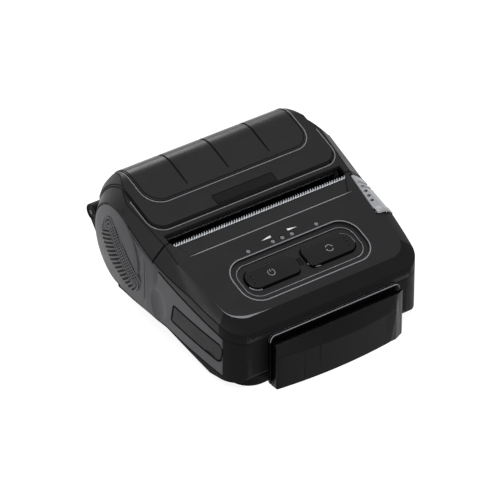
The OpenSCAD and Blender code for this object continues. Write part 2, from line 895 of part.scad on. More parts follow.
// Height just under the cover's wall
function under_z(y) = rise(y) - (wall + 0.05) / cos(panel_tilt);

// Carrier under the cover's front edge: a plate with an arm at each end
module platen_carrier() {
    y0 = slot_w + 0.5;
    color("#8d9094") difference() {
        union() {
            mirror_x() translate([arm_x + arm_t / 2, 0, 0]) along_x(arm_t) {
                translate([platen_y, platen_z]) circle(bush_r + 1.1);
                polygon([
                    [y0, platen_z], [9, platen_z], [y0 + 9, under_z(y0 + 9)],
                    [y0, under_z(y0)]
                ]);
            }
            along_x(2 * (arm_x + arm_t)) polygon([
                [y0, under_z(y0) - 1], [y0 + 9, under_z(y0 + 9) - 1],
                [y0 + 9, under_z(y0 + 9)], [y0, under_z(y0)]
            ]);
        }
        translate([-50, platen_y, platen_z]) rotate([0, 90, 0]) cylinder(r = bush_r, h = 100);
    }
}

// Pad inset in the cover, its crown an arc in side view
module cover_pad() {
    color("#1a1a1c") intersection() {
        along_x(2 * pad_half_w) difference() {
            intersection() {
                outline(side_pts, side_rs, -field_h - pad_proud);
                translate([pad_y, pad_rear_z]) square([60, 40]);
            }
            outline(side_pts, side_rs, pad_seat);
        }
        pad_plan(0);
    }
}

// Rounded plan of the pad
module pad_plan(grow) {
    translate([0, pad_y + 25, 20])
        round_block([2 * (pad_half_w + grow), 50 + 2 * grow, 60], 8);
}

module cover() {
    color("#262628") difference() {
        union() {
            difference() {
                intersection() {
                    union() {
                        body_form();
                        cover_field();
                    }
                    along_x(140) cover_zone(seam_gap);
                }
                body_form(wall);
            }
            cover_knuckle();
        }
        // Seat of the pad
        intersection() {
            along_x(2 * pad_half_w + 0.2) difference() {
                translate([pad_y - 0.1, pad_rear_z - 0.1]) square([60, 40]);
                outline(side_pts, side_rs, pad_seat);
            }
            pad_plan(0.1);
        }
        translate([-tear_len / 2 - 0.6, -10, 20]) cube([tear_len + 1.2, 10 + slot_w, 60]);
        mirror_x() hinge_scoop(knuckle_x - part_gap, hinge_half_w + part_gap);
        on_panel(0, badge_y) translate([0, 0, badge_seat])
            round_block([badge_len, badge_depth, 5], 0.6);
        lever_window();
        pin_bore();
    }
}

// Raised field behind the step
module cover_field() {
    field_half = 43.4;
    intersection() {
        along_x(2 * field_half) outline(side_pts, side_rs, -field_h);
        translate([0, step_y + 22, 0]) round_block([2 * field_half, 44, 90], 6);
        under_shoulders(-0.7);
        inside_drum_ends(-0.7);
    }
}

module cover_knuckle() {
    reach = knuckle_x - part_gap;
    translate([-reach, rear_reach, hinge_z]) rotate([0, 90, 0])
        cylinder(r = hinge_r, h = 2 * reach);
    translate([-reach, rear_reach - wall, hinge_z]) cube([2 * reach, wall, 6]);
}

module badge_plate() {
    color("#111113") on_panel(0, badge_y) translate([0, 0, badge_seat])
        round_block([badge_len - 0.1, badge_depth - 0.1, badge_t], 0.6);
}

module hinge_pin() {
    color("silver") translate([-hinge_half_w, rear_reach, hinge_z]) rotate([0, 90, 0])
        cylinder(r = pin_r, h = 2 * hinge_half_w);
}

// Cover release on the +X shoulder; its frame follows the shoulder's edge
module shoulder_frame() {
    translate([crease_x, 0, panel_z]) rotate([panel_tilt, 0, 0])
        rotate([0, 0, -crease_taper]) children();
}

module lever_box(grow, travel) {
    shoulder_frame() translate([
        -0.8 - grow, lever_y1 - lever_len - travel - grow, -split_drop - 1 - grow
    ]) cube([10, lever_len + travel + 2 * grow, 12 + grow]);
}

module lever_window() {
    lever_box(0.3, lever_travel);
}

module release_lever() {
    color("#b4b6b8") {
        difference() {
            intersection() {
                body_form();
                lever_box(0, 0);
            }
            body_form(lever_t);
            // Finger grooves across the shoulder
            shoulder_frame() for (i = [0 : 4])
                translate([-2.3, lever_y1 - 4 - i * 2.5, 2.5])
                rotate([0, 90 + shoulder_angle, 0]) cylinder(r = 0.6, h = 14);
        }
        // Tab that pushes the hook, and a flange that keeps the lever in its window
        shoulder_frame() {
            translate([-0.3, -8.2, -7.2]) cube([1.2, 2.4, 6.3]);
            translate([-1.7, lever_y1 - lever_len + 2, -wall - 0.95])
                cube([1.9, lever_len - 4, 0.7]);
        }
    }
}

// Hook beside the +X platen bush, seen from the side
module release_hook() {
    color("#8d9094") translate([hook_x + hook_t / 2, 0, 0]) along_x(hook_t) difference() {
        union() {
            translate(hook_yz) circle(2.4);
            polygon([
                [-7.4, 28], [-4.4, 26.2], [1, 32.2], [2.2, 33.2], [2.2, 35.6],
                [2.6, 36.4], [2.6, 37.4], [0.2, 37.4], [-0.4, 34.4], [-5.4, 29.6]
            ]);
            polygon([[-8.2, 27], [-6, 29], [-9.5, 35.2], [-11.1, 35.2]]);
        }
        translate(hook_yz) circle(hook_pin_r + run_gap);
    }
}

module hook_stud() {
    color("silver") translate([cheek_x, hook_yz[0], hook_yz[1]]) rotate([0, 90, 0])
        cylinder(r = hook_pin_r, h = 3.1);
}

module hook_spring() {
    color("silver") translate([hook_x + hook_t + 0.25, hook_yz[0], hook_yz[1]])
        rotate([0, 90, 0]) coil(1.45, 0.2, 0.7, 1);
}

module main_board() {
    color("#1d5b38") translate([-2, front_y + back_wall + 16.6, board_z])
        round_block([80, 31.5, board_t], 6);
}

module board_parts() {
    top = board_z + board_t;
    color("#222222") {
        translate([-10, -38, top]) cube([12, 12, 1.2]);
        translate([8, -36, top]) cube([8, 6, 1]);
        translate([22, -38, top]) cube([9, 14, 2]);
        translate([-22, -24, top]) cylinder(r = 3, h = 4);
        translate([12, -22, top]) cube([14, 4, 4.5]);
    }
}

module battery_pack() {
    rear = battery_y + battery_depth / 2;
    color("#19191b") difference() {
        translate([0, battery_y, 0.3]) round_block([battery_len, battery_depth, battery_h], 1.8);
        translate([-nose_half - 0.4, rear - 1.9, 0]) cube([2 * nose_half + 0.8, 4, 3]);
    }
}

module battery_contacts() {
    rear = battery_y + battery_depth / 2;
    color("#c9a24a") for (i = [0 : 3]) translate([18 + i * 4, rear, 8])
        cube([2, battery_gap, board_z - 8]);
}

// Sliding catch in the base plate, with its nose in a notch of the battery pack
module latch_slot() {
    translate([-latch_half - 0.3, latch_y0 - 1, -1])
        cube([2 * latch_half + 0.6, 7.1 + 2 * latch_travel, 20]);
}

module battery_latch() {
    color("#3a3a3d") difference() {
        union() {
            translate([-latch_half, latch_y0, 0.4]) cube([2 * latch_half, 6, 2.4]);
            translate([-nose_half, latch_y0 - 2.3, 1]) cube([2 * nose_half, 3, 1.8]);
            // Side rails that run on the plate
            translate([-latch_half - 2, latch_y0 + 0.5, 2.3])
                cube([2 * latch_half + 4, 5, 0.8]);
        }
        for (i = [0 : 3]) translate([-6, latch_y0 + 1 + i * 1.2, 0])
            cube([12, 0.6, 0.8]);
    }
}

module latch_spring() {
    color("silver") translate([0, latch_y0 + 6, 1.7]) rotate([-90, 0, 0])
        coil(0.8, 0.25, latch_travel, 5);
}

// Back plate of the card reader on the case's front
module card_back_plate() {
    half = reader_w / 2 + 0.3;
    color("#1b1b1d") difference() {
        along_y(front_y - plate_t, front_y) outline([
            [reader_x - half, 0.2], [reader_x + half, 0.2],
            [reader_x + half, reader_h + 0.6], [reader_x - half, reader_h + 0.6]
        ], [0.6, 0.6, 2.5, 2.5]);
        swipe_window();
    }
}

// Window in the plate and the case for the magnetic head
module swipe_window() {
    translate([-4.4, front_y - 5, swipe_z - 3.4]) cube([8.8, 9, 6.8]);
}

module card_reader_block() {
    bevel_h = 7;
    bevel_d = 1.4;
    end_bevel = [4.2, 1.8];
    bow = 210;
    x0 = reader_x - reader_w / 2;
    x1 = reader_x + reader_w / 2;
    color("#131314") intersection() {
        translate([reader_x, 0, 0]) along_x(reader_w) polygon([
            [-reader_reach, 0], [block_rear, 0], [block_rear, reader_h],
            [-reader_reach + bevel_d, reader_h], [-reader_reach, reader_h - bevel_h]
        ]);
        translate([0, 0, -1]) linear_extrude(40) intersection() {
            translate([0, bow - reader_reach]) circle(bow, $fn = 360);
            polygon([
                [x0, block_rear], [x0, -reader_reach + 2.6], [x0 + 1, -reader_reach],
                [x1 - end_bevel[0], -reader_reach], [x1 - end_bevel[0], -reader_reach + 2],
                [x1, -reader_reach + 2 + end_bevel[1]], [x1, block_rear]
            ]);
        }
    }
}

module card_slot_floor() {
    color("#131314") translate([reader_x - reader_w / 2, block_rear, 0])
        cube([reader_w, swipe_gap, floor_h]);
}

module magnetic_head() {
    color("#b9bbbd") intersection() {
        translate([-4, front_y - plate_t - 0.4, swipe_z - 3])
            cube([8, plate_t + back_wall + 0.5, 6]);
        translate([0, front_y - plate_t - 0.4 + 8, 0]) cylinder(r = 8, h = 40);
    }
}

module head_leaf_spring() {
    y0 = front_y + back_wall + 0.05;
    rise_y = y0 + 0.1 + swipe_travel + 0.05;
    color("silver") translate([0, 0, swipe_z - 1]) linear_extrude(2) polygon([
        [-12, y0], [-8, y0], [-5, rise_y], [5, rise_y], [8, y0], [12, y0],
        [12, y0 + 0.2], [8.1, y0 + 0.2], [5.1, rise_y + 0.2], [-5.1, rise_y + 0.2],
        [-8.1, y0 + 0.2], [-12, y0 + 0.2]
    ]);
}

lower_case();
base_plate();
left_side_panel();
right_side_panel();
top_case();
bay_liner();
mech_frame();
tear_bar();
print_head();
head_sink();
head_pivot();
head_springs();
paper_sensor();
stepper_motor();
motor_pinion();
idler_gear();
idler_stud();
platen_roller();
platen_shaft();
platen_gear();
platen_bushes();
platen_carrier();
cover();
cover_pad();
badge_plate();
hinge_pin();
power_button();
feed_button();
tact_switches();
key_board();
light_pipes();
status_leds();
main_board();
board_parts();
dc_jack();
usb_socket();
port_cap();
battery_pack();
battery_contacts();
battery_latch();
latch_spring();
release_lever();
release_hook();
hook_stud();
hook_spring();
card_back_plate();
card_reader_block();
card_slot_floor();
magnetic_head();
head_leaf_spring();
case_screws();
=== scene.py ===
import json
import math

import bmesh
import bpy
from mathutils import Matrix, Vector
from mathutils.bvhtree import BVHTree
from mathutils.kdtree import KDTree

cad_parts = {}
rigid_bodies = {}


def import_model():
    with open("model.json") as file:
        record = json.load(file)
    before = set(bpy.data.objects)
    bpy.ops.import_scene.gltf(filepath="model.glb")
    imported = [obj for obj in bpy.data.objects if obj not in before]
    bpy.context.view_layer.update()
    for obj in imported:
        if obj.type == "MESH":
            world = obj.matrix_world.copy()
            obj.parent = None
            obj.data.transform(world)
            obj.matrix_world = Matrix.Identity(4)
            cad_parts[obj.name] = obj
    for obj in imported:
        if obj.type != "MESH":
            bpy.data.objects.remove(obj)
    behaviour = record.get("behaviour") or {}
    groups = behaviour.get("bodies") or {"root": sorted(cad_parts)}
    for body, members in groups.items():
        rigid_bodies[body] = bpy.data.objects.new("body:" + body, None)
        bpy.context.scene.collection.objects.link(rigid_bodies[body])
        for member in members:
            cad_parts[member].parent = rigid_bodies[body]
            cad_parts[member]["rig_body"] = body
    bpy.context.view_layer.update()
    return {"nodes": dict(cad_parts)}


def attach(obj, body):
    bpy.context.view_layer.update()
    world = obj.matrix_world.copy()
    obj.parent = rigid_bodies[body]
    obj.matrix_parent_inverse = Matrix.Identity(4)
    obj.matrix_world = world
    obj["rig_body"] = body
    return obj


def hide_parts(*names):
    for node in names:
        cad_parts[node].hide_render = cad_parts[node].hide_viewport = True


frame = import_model()

# Places and sizes are in mm: X to the right, Y to the rear, Z up from the table.
MM = 0.001  # one millimetre in metres
TILT = math.radians(17.9)  # slope of the key panel
PANEL_Z = 43.7  # height of the panel's plane at y = 0
RECESS_Y = -27.3  # middle of the recess that the keys stand in
LEDGE, RECESS_FLOOR = -0.8, -1.1  # levels of its outer ledge and its floor, from the plane
KEY_X, KEY_Y = 13.7, -27.2  # middle of the feed key; the power key mirrors it
KEY_FACE = -0.1  # level of the keys' faces, from the panel's plane
GRIP_Y, GRIP_Z = 27, 30.5  # middle of the round swelling of a side panel
SPINE_TOP, SPINE_FOOT = (29.5, 38.5), (14.5, 22.0)  # (y, z) ends of the grip's middle line
READER_X = 1.8  # middle of the card reader
READER_BOW = 210  # radius of its face, seen from above


# Colour and nodes

def linear(hex_colour):
    """An sRGB hex colour as the linear RGBA that a socket takes."""
    out = []
    for i in (1, 3, 5):
        c = int(hex_colour[i:i + 2], 16) / 255
        out.append(c / 12.92 if c <= 0.04045 else ((c + 0.055) / 1.055) ** 2.4)
    return (*out, 1.0)


def node(tree, kind, inputs=None, **settings):
    """Adds a node with its settings; an input is a value or another node's output."""
    n = tree.nodes.new(kind)
    for k, v in settings.items():
        setattr(n, k, v)
    for k, v in (inputs or {}).items():
        if isinstance(v, bpy.types.NodeSocket):
            tree.links.new(v, n.inputs[k])
        else:
            n.inputs[k].default_value = v
    return n


def empty_tree(owner):
    """The emptied node tree of a material or of the world."""
    owner.use_nodes = True
    owner.node_tree.nodes.clear()
    return owner.node_tree


def new_material(name, shader):
    """A material with its tree, its Principled shader and its Object coordinates."""
    m = bpy.data.materials.new(name)
    t = empty_tree(m)
    s = node(t, "ShaderNodeBsdfPrincipled", shader)
    node(t, "ShaderNodeOutputMaterial", {"Surface": s.outputs["BSDF"]})
    where = node(t, "ShaderNodeTexCoord").outputs["Object"]
    return m, t, s, where


def placed(name, data):
    """A new object, linked to the scene."""
    obj = bpy.data.objects.new(name, data)
    bpy.context.scene.collection.objects.link(obj)
    return obj


def written(bm, mesh):
    """Writes a bmesh into a mesh, its faces smooth, and frees it."""
    for f in bm.faces:
        f.smooth = True
    bm.to_mesh(mesh)
    bm.free()
    return mesh


# Camera and light

def camera():
    """Camera at the photograph's viewing angle, from the front left and above."""
    right = Vector((0.8133, -0.5818, 0)).normalized()
    look = Vector((0.4707, 0.658, -0.588)).normalized()
    up = right.cross(look)
    middle, distance = Vector((0, -10, -6.7145)), 1500
    to_left, to_top = 9.616, 30.012  # from that middle to the middle of the picture
    eye = middle - look * distance
    aim = (look * distance - right * to_left + up * to_top).normalized()
    side = aim.cross(up).normalized()
    cam = bpy.data.cameras.new("camera")
    cam.sensor_width = 36
    cam.lens = 274.7
    cam.clip_start, cam.clip_end = 0.05, 20
    turn = Matrix((side, side.cross(aim), -aim)).transposed()
    obj = placed("camera", cam)
    obj.matrix_world = Matrix.Translation(eye * MM) @ turn.to_4x4()
    bpy.context.scene.camera = obj


def area_lamp(name, place, size, watts):
    """Soft lamp at a place in mm, its size in metres, turned towards the printer's middle."""
    lamp = bpy.data.lights.new(name, "AREA")
    lamp.shape = "RECTANGLE"
    lamp.size, lamp.size_y = size
    lamp.energy = watts
    obj = placed(name, lamp)
    place, aim = Vector(place) * MM, Vector((0, 0, 25)) * MM
    obj.location = place
    obj.rotation_euler = (aim - place).to_track_quat("-Z", "Y").to_euler()


def two_shaders(tree, lighting, seen, end):
    """One shader lights the object; the camera, gloss and glass see the other."""
    path = node(tree, "ShaderNodeLightPath").outputs
    some = node(tree, "ShaderNodeMath",
                {0: path["Is Camera Ray"], 1: path["Is Glossy Ray"]}, operation="MAXIMUM")
    rays = node(tree, "ShaderNodeMath",
                {0: some.outputs[0], 1: path["Is Transmission Ray"]}, operation="MAXIMUM")
    both = node(tree, "ShaderNodeMixShader",
                {0: rays.outputs[0], 1: lighting.outputs[0], 2: seen.outputs[0]})
    node(tree, end, {"Surface": both.outputs[0]})


def studio():
    """Pale floor, white backdrop and soft lamps overhead."""
    world = bpy.data.worlds.new("studio")
    t = empty_tree(world)
    soft = node(t, "ShaderNodeBackground", {"Color": linear("#ffffff"), "Strength": 0.4})
    white = node(t, "ShaderNodeBackground", {"Color": linear("#ffffff"), "Strength": 1.0})
    two_shaders(t, soft, white, "ShaderNodeOutputWorld")
    bpy.context.scene.world = world

    bm = bmesh.new()
    bmesh.ops.create_grid(bm, x_segments=1, y_segments=1, size=3)
    floor = placed("floor", written(bm, bpy.data.meshes.new("floor")))
    m = bpy.data.materials.new("pale studio paper")
    t = empty_tree(m)
    paper = node(t, "ShaderNodeBsdfDiffuse", {"Color": linear("#dcdcdc")})
    # The floor that the camera sees: nearly white by itself, with a grey for the shadow.
    lift = node(t, "ShaderNodeEmission", {"Color": linear("#ffffff"), "Strength": 0.9})
    dark = node(t, "ShaderNodeBsdfDiffuse", {"Color": linear("#8c8c8c")})
    white = node(t, "ShaderNodeAddShader", {0: lift.outputs[0], 1: dark.outputs[0]})
    two_shaders(t, paper, white, "ShaderNodeOutputMaterial")
    floor.data.materials.append(m)

    area_lamp("key", (-350, -250, 900), (0.6, 0.6), 8)
    area_lamp("fill", (700, -500, 500), (0.6, 0.6), 2)
    area_lamp("back", (100, 900, 600), (0.9, 0.4), 6)


# Materials

def moulded(name, colour, roughness, grain_mm, depth_mm, shine=0.5):
    """Moulded plastic or rubber: a spark-eroded grain in bump and a faint mottle in gloss."""
    mottle_mm, spread = 9, 0.12
    m, t, s, where = new_material(name, {
        "Base Color": linear(colour), "Roughness": roughness, "IOR": 1.5,
        "Specular IOR Level": shine})
    grain = node(t, "ShaderNodeTexNoise", {
        "Vector": where, "Scale": 1 / (grain_mm * MM), "Detail": 3.0, "Roughness": 0.6})
    cloud = node(t, "ShaderNodeTexNoise", {
        "Vector": where, "Scale": 1 / (mottle_mm * MM), "Detail": 4.0, "Roughness": 0.6})
    gloss = node(t, "ShaderNodeMapRange", {
        "Value": cloud.outputs["Fac"], "From Min": 0.3, "From Max": 0.7,
        "To Min": max(roughness - spread / 2, 0.02), "To Max": roughness + spread / 2})
    t.links.new(gloss.outputs[0], s.inputs["Roughness"])
    bump = node(t, "ShaderNodeBump", {
        "Height": grain.outputs["Fac"], "Distance": depth_mm * MM, "Strength": 1.0})
    t.links.new(bump.outputs[0], s.inputs["Normal"])
    return m


def metal(name, colour, roughness, stretch):
    """Bare or plated metal; stretch divides its grain along X, Y and Z, which makes streaks."""
    grain_mm, depth_mm = 0.4, 0.004
    m, t, s, where = new_material(name, {
        "Base Color": linear(colour), "Roughness": roughness, "Metallic": 1.0})
    turned = node(t, "ShaderNodeMapping", {"Vector": where, "Scale": stretch})
    lines = node(t, "ShaderNodeTexNoise", {
        "Vector": turned.outputs[0], "Scale": 1 / (grain_mm * MM), "Detail": 4.0})
    gloss = node(t, "ShaderNodeMapRange", {
        "Value": lines.outputs["Fac"], "From Min": 0.3, "From Max": 0.7,
        "To Min": max(roughness - 0.08, 0.05), "To Max": roughness + 0.1})
    t.links.new(gloss.outputs[0], s.inputs["Roughness"])
    bump = node(t, "ShaderNodeBump", {
        "Height": lines.outputs["Fac"], "Distance": depth_mm * MM, "Strength": 1.0})
    t.links.new(bump.outputs[0], s.inputs["Normal"])
    return m


# One pixel of the picture covers about 0.4 mm. A real moulded or drawn grain is near 0.1 mm
# and would not show, so the fine grains below are drawn 0.2 to 0.5 mm wide.
MATERIALS = {
    # Injection-moulded black ABS, spark-eroded: a fine dull grain with a weak sheen.
    "case_plastic": moulded("textured black ABS", "#0d0d0f", 0.42, 0.35, 0.012, 0.19),
    # Painted shade: the case plastic made darker and duller, with almost no sheen and a coarser
    # grain, for the lower half and the front slope below the panel's crease, which face away from
    # the lamps.
    "shade_darkened_plastic": moulded("coarse black ABS in painted shade", "#09090a", 0.5, 0.45, 0.016, 0.08),
    # The smoother inlay of the cover, a shade glossier than the case round it.
    "pad_plastic": moulded("satin black ABS", "#101012", 0.28, 0.3, 0.004, 0.22),
    # Painted highlight: a light grey laid on edges as a thin bright line, where a moulded edge
    # would catch the light.
    "painted_highlight": moulded("painted highlight on black ABS edge", "#6a6a6e", 0.24, 0.3, 0.002, 0.5),
    # Painted shade: a matt black laid where shade falls, in the keys' recess, the joints, the
    # pad's grooves and the keys' sides; on the grips it is the black base that the grooves go down
    # to.
    "black_and_painted_shade": moulded("matt black ABS and painted shade", "#060607", 0.6, 0.35, 0.01, 0.08),
    # Unpainted mouldings inside: plain, with a little flow mottle.
    "inner_plastic": moulded("plain dark ABS", "#1c1c1e", 0.55, 0.5, 0.01, 0.25),
    # Grey side panels with a dull, velvety coat.
    "panel_plastic": moulded("grey soft-touch ABS", "#37373a", 0.48, 0.3, 0.006, 0.35),
    # Release lever: moulded in its own colour, satin, the palest plastic outside.
    "lever_plastic": moulded("light grey ABS", "#858689", 0.4, 0.3, 0.006),
    # Keys: moulded smoother than the case, so their faces hold a soft sheen.
    "key_plastic": moulded("black key ABS", "#0b0b0d", 0.34, 0.3, 0.006, 0.16),
    # Thermoplastic rubber of the socket cap: duller than the panel that it sits in.
    "cap_rubber": moulded("grey TPE", "#1d1d1f", 0.6, 0.3, 0.01, 0.25),
    # Card reader: moulded in a smooth tool, deeper and glossier than the case.
    "reader_plastic": moulded("black reader ABS", "#060607", 0.3, 0.35, 0.006, 0.1),
    # Gear plastic: milky, with a soft shine.
    "gear_plastic": moulded("natural POM", "#dcd7c8", 0.4, 0.5, 0.006),
    # Ground rubber: no shine at all.
    "platen_rubber": moulded("ground silicone rubber", "#161616", 0.7, 0.25, 0.012, 0.2),
    # Lacquer cured over copper tracks: glossy green with a slow wave, 1.2 mm as it really is.
    "board": moulded("green solder mask", "#14402a", 0.35, 1.2, 0.02),
    # Chips and sockets, pressed from filled resin: flat black.
    "chip": moulded("black epoxy", "#1d1d1f", 0.5, 0.3, 0.008),
    # Unlit light pipes: a smoky grey behind dull faces, with a slow ripple of 1 mm.
    "light_pipe": moulded("smoked acrylic", "#5c5d60", 0.4, 1.0, 0.002),
    # Cast lens of an unlit diode: pale yellow, nearly clear of grain.
    "led": moulded("unlit diode resin", "#d9d6c0", 0.3, 0.5, 0.002),
    # Badge plate: a polished moulding, so its black is the deepest and cleanest.
    "badge": moulded("gloss black badge", "#0a0a0b", 0.2, 0.5, 0.002, 0.12),
    # Screen-printed marks: a thin flat ink.
    "ink": moulded("pale grey ink", "#c9cacc", 0.6, 0.2, 0.001),
    "dim_ink": moulded("mid grey ink", "#7c7d80", 0.6, 0.2, 0.001),
    # Fired and glazed bar of the print head: cream, with a smooth shine.
    "ceramic": moulded("glazed alumina", "#cfc8b6", 0.3, 0.5, 0.002),
    # Zinc plate over rolled sheet: grey, its cloudy grain drawn out along X.
    "steel": metal("zinc-plated steel", "#8f9296", 0.38, (1, 8, 8)),
    # The same drawn grain under a dark oxide: little shine. On the tear bar it is painted shade
    # between and below the teeth.
    "dark_steel_and_shade": metal("blackened steel", "#4a4a4d", 0.45, (1, 8, 8)),
    # Ground and polished: bright, with finer streaks.
    "bright_steel": metal("stainless steel", "#b9bbbe", 0.25, (1, 12, 12)),
    # Pushed through a die: long fine streaks along X.
    "aluminium": metal("extruded aluminium", "#b4b6b9", 0.35, (1, 14, 14)),
    # Turned on a lathe: fine rings round X.
    "brass": metal("turned brass", "#c2a050", 0.28, (8, 1, 1)),
}
FINISH = {
    "lower_case": "shade_darkened_plastic", "base_plate": "shade_darkened_plastic", "left_side_panel": "panel_plastic",
    "right_side_panel": "panel_plastic", "top_case": "case_plastic", "bay_liner": "inner_plastic",
    "mech_frame": "steel", "tear_bar": "steel", "print_head": "ceramic",
    "head_sink": "aluminium", "head_pivot": "bright_steel", "head_springs": "bright_steel",
    "paper_sensor": "chip", "stepper_motor": "steel", "motor_pinion": "brass",
    "idler_gear": "gear_plastic", "idler_stud": "bright_steel", "platen_roller": "platen_rubber",
    "platen_shaft": "bright_steel", "platen_gear": "gear_plastic",
    "platen_bushes": "gear_plastic", "platen_carrier": "steel", "cover": "case_plastic",
    "cover_pad": "pad_plastic", "badge_plate": "badge", "hinge_pin": "dark_steel_and_shade",
    "power_button": "key_plastic", "feed_button": "key_plastic", "tact_switches": "chip",
    "key_board": "board", "light_pipes": "light_pipe", "status_leds": "led",
    "main_board": "board", "board_parts": "chip", "dc_jack": "chip", "usb_socket": "steel",
    "port_cap": "cap_rubber", "battery_pack": "inner_plastic", "battery_contacts": "brass",
    "battery_latch": "inner_plastic", "latch_spring": "bright_steel",
    "release_lever": "lever_plastic", "release_hook": "steel", "hook_stud": "bright_steel",
    "hook_spring": "bright_steel", "card_back_plate": "reader_plastic",
    "card_reader_block": "reader_plastic", "card_slot_floor": "reader_plastic",
    "magnetic_head": "aluminium", "head_leaf_spring": "bright_steel", "case_screws": "steel",
}


# Shapes in mm, to cut with or to add

def on_panel(x, y, h=0.0):
    """A place on the key panel's plane, h mm above it, its Z square to the plane."""
    return (Matrix.Translation((x, y, PANEL_Z + y * math.tan(TILT)))
            @ Matrix.Rotation(TILT, 4, "X") @ Matrix.Translation((0, 0, h)))


def panel_height(p):
    """How far a point lies above the key panel's plane."""
    return (p.z - PANEL_Z) * math.cos(TILT) - p.y * math.sin(TILT)


def at_slope(y, h):
    """(y, z) of a point h mm above the key panel's plane."""
    return (y - h * math.sin(TILT), PANEL_Z + y * math.tan(TILT) + h * math.cos(TILT))


def everything(bm):
    """All the points, edges and faces of a bmesh."""
    return bm.verts[:] + bm.edges[:] + bm.faces[:]


def doubled(bm):
    """Extrudes flat faces, keeps the old ones, and gives the new points, to be moved."""
    out = bmesh.ops.extrude_face_region(bm, geom=bm.faces[:], use_keep_orig=True)
    return [g for g in out["geom"] if isinstance(g, bmesh.types.BMVert)]


def raised(bm, height, place):
    """Turns flat faces into a closed slab and sets it in its place."""
    bmesh.ops.translate(bm, vec=(0, 0, height), verts=doubled(bm))
    bmesh.ops.recalc_face_normals(bm, faces=bm.faces)
    bmesh.ops.transform(bm, matrix=place, verts=bm.verts)
    return bm


def outline(size, radius, steps):
    """Flat rectangle with round corners, centred on the origin."""
    bm = bmesh.new()
    bmesh.ops.create_grid(bm, x_segments=1, y_segments=1, size=0.5)
    bmesh.ops.scale(bm, vec=(size[0], size[1], 1), verts=bm.verts)
    if radius:
        bmesh.ops.bevel(bm, geom=bm.verts[:], offset=radius, segments=steps, profile=0.5,
                        affect="VERTICES", material=-1)
    return bm


def cut_up(bm, longer_than, cuts):
    """Divides the long edges, so that they can bend."""
    long = [e for e in bm.edges if e.calc_length() > longer_than]
    bmesh.ops.subdivide_edges(bm, edges=long, cuts=cuts)


def keep_band(bm, width):
    """Leaves only a band of the given width, just inside a flat outline."""
    bm.normal_update()
    bmesh.ops.inset_region(bm, faces=bm.faces[:], thickness=width, use_even_offset=True,
                           use_boundary=True)
    bmesh.ops.delete(bm, geom=[max(bm.faces, key=lambda f: f.calc_area())], context="FACES")


def ring(size, radius, width, place=None, cuts=0):
    """Flat band inside a rounded outline."""
    bm = outline(size, radius, 10)
    if cuts:
        cut_up(bm, 8, cuts)
    keep_band(bm, width)
    if place is not None:
        bmesh.ops.transform(bm, matrix=place, verts=bm.verts)
    return bm


def plate(size, radius, height, place):
    """Flat plate with round corners, its underside centred on place."""
    return raised(outline(size, radius, 7), height, place)


def slab(points, height, place):
    """Flat shape with the given corners, its underside on place."""
    bm = bmesh.new()
    bm.faces.new([bm.verts.new((p[0], p[1], 0)) for p in points])
    return raised(bm, height, place)


def arc(radius, width, start, turn, height, place):
    """Flat ring segment; start and turn are in degrees."""
    bm = bmesh.new()
    a = math.radians(start)
    ends = [bm.verts.new((r * math.cos(a), r * math.sin(a), 0))
            for r in (radius - width / 2, radius + width / 2)]
    bm.edges.new(ends)
    bmesh.ops.spin(bm, geom=everything(bm), cent=(0, 0, 0), axis=(0, 0, 1),
                   angle=math.radians(turn), steps=20)
    return raised(bm, height, place)


def rod(radius, length, place, sides=32):
    """Round bar along Z, from place."""
    bm = bmesh.new()
    bmesh.ops.create_cone(bm, cap_ends=True, segments=sides, radius1=radius, radius2=radius,
                          depth=length)
    bmesh.ops.translate(bm, vec=(0, 0, length / 2), verts=bm.verts)
    bmesh.ops.transform(bm, matrix=place, verts=bm.verts)
    return bm


def along_x(points, x0, x1):
    """Bar along X with a (y, z) section."""
    stand = Matrix(((0, 0, 1, x0), (1, 0, 0, 0), (0, 1, 0, 0), (0, 0, 0, 1)))
    return slab(points, x1 - x0, stand)


def joined(parts):
    """One bmesh in metres from several in mm, which are freed."""
    whole = bmesh.new()
    for bm in parts:
        mesh = written(bm, bpy.data.meshes.new("part"))
        whole.from_mesh(mesh)
        bpy.data.meshes.remove(mesh)
    bmesh.ops.scale(whole, vec=(MM, MM, MM), verts=whole.verts)
    return whole


# Pieces

def body_of(name):
    """The body that a solid moves with."""
    return frame["nodes"][name]["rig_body"]


def add_piece(name, bm, finish, body):
    """A piece from a bmesh in metres, riding on a body."""
    obj = placed(name, written(bm, bpy.data.meshes.new(name)))
    obj.data.materials.append(MATERIALS[finish])
    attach(obj, body)
    return obj


def printed(name, body, finish, parts):
    """A thin piece from several shapes in mm."""
    add_piece(name, joined(parts), finish, body)


def merge(bm, gap):
    """Welds points that lie within a gap in mm, and joins faces in one plane."""
    bmesh.ops.remove_doubles(bm, verts=bm.verts, dist=gap * MM)
    bmesh.ops.dissolve_limit(bm, angle_limit=math.radians(0.3), verts=bm.verts, edges=bm.edges)


def moulding(name):
    """A merged copy of a solid, which stands for it."""
    bm = bmesh.new()
    bm.from_mesh(frame["nodes"][name].data)
    merge(bm, 0.0005)
    obj = add_piece(name + "_moulding", bm, FINISH[name], body_of(name))
    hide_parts(name)
    return obj


def slot_of(obj, finish):
    """The number of a finish among an object's material slots."""
    mats = obj.data.materials
    if MATERIALS[finish].name not in [m.name for m in mats]:
        mats.append(MATERIALS[finish])
    return [m.name for m in mats].index(MATERIALS[finish].name)


def carve(obj, parts, operation="DIFFERENCE"):
    """Cuts shapes in mm out of a piece, or keeps what lies inside them."""
    mesh = written(joined(parts), bpy.data.meshes.new("tool"))
    tool = placed("tool", mesh)
    cut = obj.modifiers.new("cut", "BOOLEAN")
    cut.object, cut.operation, cut.solver = tool, operation, "EXACT"
    seen = bpy.context.evaluated_depsgraph_get()
    done = bpy.data.meshes.new_from_object(obj.evaluated_get(seen))
    obj.modifiers.remove(cut)
    obj.data = done
    bpy.data.objects.remove(tool)
    bpy.data.meshes.remove(mesh)
    bm = bmesh.new()
    bm.from_mesh(done)
    merge(bm, 0.002)
    written(bm, done)


